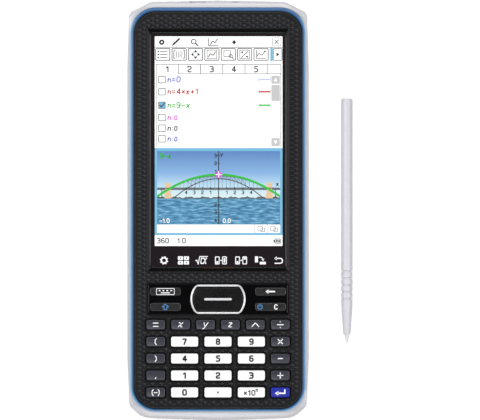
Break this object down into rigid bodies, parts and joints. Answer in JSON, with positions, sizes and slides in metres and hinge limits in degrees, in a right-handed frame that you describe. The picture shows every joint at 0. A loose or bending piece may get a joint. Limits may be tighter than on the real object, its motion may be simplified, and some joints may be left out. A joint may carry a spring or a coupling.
{
  "type": "graphing calculator",
  "caption": "Slim handheld graphing calculator: tall touch display over a keypad with a cursor rocker, silver back, blue trim band, sliding battery cover and a separate stylus.",
  "frame": {"origin": "middle of the flat back face of the calculator's body", "axes": "+Z out of the front face, +Y towards the display end, +X to the right as seen from the front"},
  "size_m": [0.1106, 0.206, 0.021],
  "materials": {
    "silver_shell": "satin silver",
    "black_shell": "fine embossed pattern",
    "blue_trim": "translucent gloss",
    "clear_window": "gloss",
    "display": "lit display",
    "gloss_panel": "high gloss",
    "dark_key": "satin",
    "white_key": "satin",
    "blue_key": "satin",
    "chrome_trim": "polished",
    "grey_rubber": "matte",
    "circuit_board": "solder mask",
    "flat_cable": "film",
    "steel": "nickel plated",
    "cell_sleeve": "printed sleeve",
    "stylus_plastic": "satin"
  },
  "bodies": {
    "housing": {"rear_case": "silver_shell", "front_case": "black_shell", "accent_band": "blue_trim", "touch_window": "clear_window", "lcd_module": "display", "function_panel": "gloss_panel", "main_board": "circuit_board", "keypad_sheet": "grey_rubber", "lcd_flex_cable": "flat_cable", "usb_socket": "steel", "data_jack": "black_shell", "battery_1": "cell_sleeve", "case_screw_1": "steel", "battery_2": "cell_sleeve", "case_screw_2": "steel", "battery_3": "cell_sleeve", "case_screw_3": "steel", "battery_4": "cell_sleeve", "case_screw_4": "steel", "contact_start": "steel", "contact_link_middle": "steel", "contact_end": "steel", "contact_link_left": "steel", "contact_link_right": "steel"},
    "key_equals": {"key_equals": "dark_key"},
    "key_x": {"key_x": "dark_key"},
    "key_y": {"key_y": "dark_key"},
    "key_z": {"key_z": "dark_key"},
    "key_power": {"key_power": "dark_key"},
    "key_divide": {"key_divide": "dark_key"},
    "key_bracket_open": {"key_bracket_open": "dark_key"},
    "key_bracket_close": {"key_bracket_close": "dark_key"},
    "key_comma": {"key_comma": "dark_key"},
    "key_negative": {"key_negative": "dark_key"},
    "key_times": {"key_times": "dark_key"},
    "key_minus": {"key_minus": "dark_key"},
    "key_plus": {"key_plus": "dark_key"},
    "key_execute": {"key_execute": "blue_key"},
    "key_0": {"key_0": "white_key"},
    "key_1": {"key_1": "white_key"},
    "key_2": {"key_2": "white_key"},
    "key_3": {"key_3": "white_key"},
    "key_4": {"key_4": "white_key"},
    "key_5": {"key_5": "white_key"},
    "key_6": {"key_6": "white_key"},
    "key_7": {"key_7": "white_key"},
    "key_8": {"key_8": "white_key"},
    "key_9": {"key_9": "white_key"},
    "key_point": {"key_point": "white_key"},
    "key_exponent": {"key_exponent": "white_key"},
    "key_keyboard": {"key_keyboard": "gloss_panel"},
    "key_shift": {"key_shift": "gloss_panel"},
    "key_backspace": {"key_backspace": "gloss_panel"},
    "key_clear": {"key_clear": "gloss_panel"},
    "cursor_pivot": {"cursor_pivot": "black_shell"},
    "cursor": {"cursor_pad": "gloss_panel", "cursor_ring": "chrome_trim"},
    "restart_button": {"restart_button": "grey_rubber"},
    "battery_cover": {"battery_cover": "silver_shell"},
    "stylus": {"stylus": "stylus_plastic"}
  },
  "joints": [
    {"name": "cursor_up_down", "type": "hinge", "parent": "housing", "child": "cursor_pivot", "pos_m": [0, -0.0433, 0.0156], "axis": [1, 0, 0], "range_deg": [-3, 3], "stiffness_Nm_per_rad": 0.1, "deforming": ["keypad_sheet"]},
    {"name": "cursor_left_right", "type": "hinge", "parent": "cursor_pivot", "child": "cursor", "pos_m": [0, -0.0433, 0.0156], "axis": [0, 1, 0], "range_deg": [-2.2, 2.2], "stiffness_Nm_per_rad": 0.1, "deforming": ["keypad_sheet"]},
    {"name": "restart_press", "type": "slide", "parent": "housing", "child": "restart_button", "axis": [0, 0, 1], "range_m": [0, 0.0004], "stiffness_N_per_m": 400},
    {"name": "battery_cover_slide", "type": "slide", "parent": "housing", "child": "battery_cover", "axis": [0, -1, 0], "range_m": [0, 0.058]},
    {"name": "stylus_lift", "type": "slide", "parent": "housing", "child": "stylus", "axis": [0, 0, 1], "range_m": [0, 0.05]},
    {"name": "press_equals", "type": "slide", "parent": "housing", "child": "key_equals", "axis": [0, 0, -1], "range_m": [0, 0.001], "stiffness_N_per_m": 400, "deforming": ["keypad_sheet"]},
    {"name": "press_x", "type": "slide", "parent": "housing", "child": "key_x", "axis": [0, 0, -1], "range_m": [0, 0.001], "stiffness_N_per_m": 400, "deforming": ["keypad_sheet"]},
    {"name": "press_y", "type": "slide", "parent": "housing", "child": "key_y", "axis": [0, 0, -1], "range_m": [0, 0.001], "stiffness_N_per_m": 400, "deforming": ["keypad_sheet"]},
    {"name": "press_z", "type": "slide", "parent": "housing", "child": "key_z", "axis": [0, 0, -1], "range_m": [0, 0.001], "stiffness_N_per_m": 400, "deforming": ["keypad_sheet"]},
    {"name": "press_power", "type": "slide", "parent": "housing", "child": "key_power", "axis": [0, 0, -1], "range_m": [0, 0.001], "stiffness_N_per_m": 400, "deforming": ["keypad_sheet"]},
    {"name": "press_divide", "type": "slide", "parent": "housing", "child": "key_divide", "axis": [0, 0, -1], "range_m": [0, 0.001], "stiffness_N_per_m": 400, "deforming": ["keypad_sheet"]},
    {"name": "press_bracket_open", "type": "slide", "parent": "housing", "child": "key_bracket_open", "axis": [0, 0, -1], "range_m": [0, 0.001], "stiffness_N_per_m": 400, "deforming": ["keypad_sheet"]},
    {"name": "press_bracket_close", "type": "slide", "parent": "housing", "child": "key_bracket_close", "axis": [0, 0, -1], "range_m": [0, 0.001], "stiffness_N_per_m": 400, "deforming": ["keypad_sheet"]},
    {"name": "press_comma", "type": "slide", "parent": "housing", "child": "key_comma", "axis": [0, 0, -1], "range_m": [0, 0.001], "stiffness_N_per_m": 400, "deforming": ["keypad_sheet"]},
    {"name": "press_negative", "type": "slide", "parent": "housing", "child": "key_negative", "axis": [0, 0, -1], "range_m": [0, 0.001], "stiffness_N_per_m": 400, "deforming": ["keypad_sheet"]},
    {"name": "press_times", "type": "slide", "parent": "housing", "child": "key_times", "axis": [0, 0, -1], "range_m": [0, 0.001], "stiffness_N_per_m": 400, "deforming": ["keypad_sheet"]},
    {"name": "press_minus", "type": "slide", "parent": "housing", "child": "key_minus", "axis": [0, 0, -1], "range_m": [0, 0.001], "stiffness_N_per_m": 400, "deforming": ["keypad_sheet"]},
    {"name": "press_plus", "type": "slide", "parent": "housing", "child": "key_plus", "axis": [0, 0, -1], "range_m": [0, 0.001], "stiffness_N_per_m": 400, "deforming": ["keypad_sheet"]},
    {"name": "press_execute", "type": "slide", "parent": "housing", "child": "key_execute", "axis": [0, 0, -1], "range_m": [0, 0.001], "stiffness_N_per_m": 400, "deforming": ["keypad_sheet"]},
    {"name": "press_0", "type": "slide", "parent": "housing", "child": "key_0", "axis": [0, 0, -1], "range_m": [0, 0.001], "stiffness_N_per_m": 400, "deforming": ["keypad_sheet"]},
    {"name": "press_1", "type": "slide", "parent": "housing", "child": "key_1", "axis": [0, 0, -1], "range_m": [0, 0.001], "stiffness_N_per_m": 400, "deforming": ["keypad_sheet"]},
    {"name": "press_2", "type": "slide", "parent": "housing", "child": "key_2", "axis": [0, 0, -1], "range_m": [0, 0.001], "stiffness_N_per_m": 400, "deforming": ["keypad_sheet"]},
    {"name": "press_3", "type": "slide", "parent": "housing", "child": "key_3", "axis": [0, 0, -1], "range_m": [0, 0.001], "stiffness_N_per_m": 400, "deforming": ["keypad_sheet"]},
    {"name": "press_4", "type": "slide", "parent": "housing", "child": "key_4", "axis": [0, 0, -1], "range_m": [0, 0.001], "stiffness_N_per_m": 400, "deforming": ["keypad_sheet"]},
    {"name": "press_5", "type": "slide", "parent": "housing", "child": "key_5", "axis": [0, 0, -1], "range_m": [0, 0.001], "stiffness_N_per_m": 400, "deforming": ["keypad_sheet"]},
    {"name": "press_6", "type": "slide", "parent": "housing", "child": "key_6", "axis": [0, 0, -1], "range_m": [0, 0.001], "stiffness_N_per_m": 400, "deforming": ["keypad_sheet"]},
    {"name": "press_7", "type": "slide", "parent": "housing", "child": "key_7", "axis": [0, 0, -1], "range_m": [0, 0.001], "stiffness_N_per_m": 400, "deforming": ["keypad_sheet"]},
    {"name": "press_8", "type": "slide", "parent": "housing", "child": "key_8", "axis": [0, 0, -1], "range_m": [0, 0.001], "stiffness_N_per_m": 400, "deforming": ["keypad_sheet"]},
    {"name": "press_9", "type": "slide", "parent": "housing", "child": "key_9", "axis": [0, 0, -1], "range_m": [0, 0.001], "stiffness_N_per_m": 400, "deforming": ["keypad_sheet"]},
    {"name": "press_point", "type": "slide", "parent": "housing", "child": "key_point", "axis": [0, 0, -1], "range_m": [0, 0.001], "stiffness_N_per_m": 400, "deforming": ["keypad_sheet"]},
    {"name": "press_exponent", "type": "slide", "parent": "housing", "child": "key_exponent", "axis": [0, 0, -1], "range_m": [0, 0.001], "stiffness_N_per_m": 400, "deforming": ["keypad_sheet"]},
    {"name": "press_keyboard", "type": "slide", "parent": "housing", "child": "key_keyboard", "axis": [0, 0, -1], "range_m": [0, 0.001], "stiffness_N_per_m": 400, "deforming": ["keypad_sheet"]},
    {"name": "press_shift", "type": "slide", "parent": "housing", "child": "key_shift", "axis": [0, 0, -1], "range_m": [0, 0.001], "stiffness_N_per_m": 400, "deforming": ["keypad_sheet"]},
    {"name": "press_backspace", "type": "slide", "parent": "housing", "child": "key_backspace", "axis": [0, 0, -1], "range_m": [0, 0.001], "stiffness_N_per_m": 400, "deforming": ["keypad_sheet"]},
    {"name": "press_clear", "type": "slide", "parent": "housing", "child": "key_clear", "axis": [0, 0, -1], "range_m": [0, 0.001], "stiffness_N_per_m": 400, "deforming": ["keypad_sheet"]}
  ]
}
